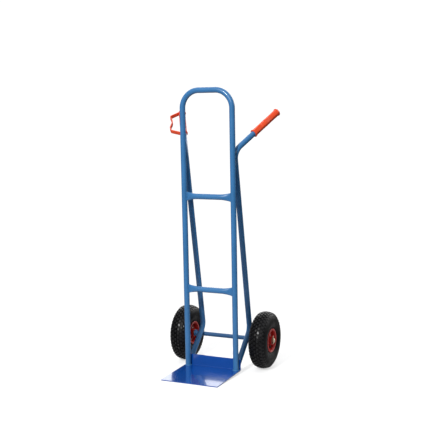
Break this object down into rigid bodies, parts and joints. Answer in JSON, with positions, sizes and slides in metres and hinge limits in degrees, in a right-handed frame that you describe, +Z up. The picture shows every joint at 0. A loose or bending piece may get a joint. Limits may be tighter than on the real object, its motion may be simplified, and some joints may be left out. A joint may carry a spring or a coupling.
{
  "type": "hand truck",
  "caption": "Upright two-wheel hand truck with bent tube frame, fixed toe plate, knuckle-guard grips and pneumatic wheels.",
  "frame": {"origin": "on the floor, below the centre of the truck's bounding box", "axes": "+Z up along the frame; X across the truck along its axle; -Y towards the toe plate and the load"},
  "size_m": [0.5446, 0.5218, 1.2664],
  "materials": {
    "frame_paint": "glossy blue powder coat",
    "grip_plastic": "smooth moulded red plastic",
    "rim_plastic": "moulded dark red plastic",
    "tyre_rubber": "matt black rubber with block tread",
    "tube_rubber": "smooth black rubber",
    "cap_plastic": "matt black plastic",
    "cage_plastic": "natural nylon",
    "bearing_steel": "ground steel",
    "zinc_steel": "bright zinc plating"
  },
  "bodies": {
    "frame": {"main_hoop": "frame_paint", "crossbar_lower": "frame_paint", "crossbar_upper": "frame_paint", "toe_plate": "frame_paint", "axle": "frame_paint", "side_tube_left": "frame_paint", "side_tube_right": "frame_paint", "grip_left": "grip_plastic", "grip_right": "grip_plastic", "axle_collar_left": "frame_paint", "axle_collar_right": "frame_paint", "inner_washer_left": "zinc_steel", "inner_washer_right": "zinc_steel", "outer_washer_left": "zinc_steel", "outer_washer_right": "zinc_steel", "split_pin_left": "zinc_steel", "split_pin_right": "zinc_steel"},
    "left_wheel": {"tyre_left": "tyre_rubber", "inner_tube_left": "tube_rubber", "valve_stem_left": "tube_rubber", "valve_cap_left": "cap_plastic", "rim_outer_left": "rim_plastic", "rim_inner_left": "rim_plastic", "hub_sleeve_left": "bearing_steel", "roller_cage_left": "cage_plastic", "rollers_left": "bearing_steel", "rim_bolts_left": "zinc_steel", "rim_nuts_left": "zinc_steel"},
    "right_wheel": {"tyre_right": "tyre_rubber", "inner_tube_right": "tube_rubber", "valve_stem_right": "tube_rubber", "valve_cap_right": "cap_plastic", "rim_outer_right": "rim_plastic", "rim_inner_right": "rim_plastic", "hub_sleeve_right": "bearing_steel", "roller_cage_right": "cage_plastic", "rollers_right": "bearing_steel", "rim_bolts_right": "zinc_steel", "rim_nuts_right": "zinc_steel"}
  },
  "joints": [
    {"name": "left_wheel_turn", "type": "hinge", "parent": "frame", "child": "left_wheel", "pos_m": [-0.1965, 0.13093, 0.13], "axis": [1, 0, 0], "continuous": true},
    {"name": "right_wheel_turn", "type": "hinge", "parent": "frame", "child": "right_wheel", "pos_m": [0.1965, 0.13093, 0.13], "axis": [1, 0, 0], "continuous": true}
  ]
}
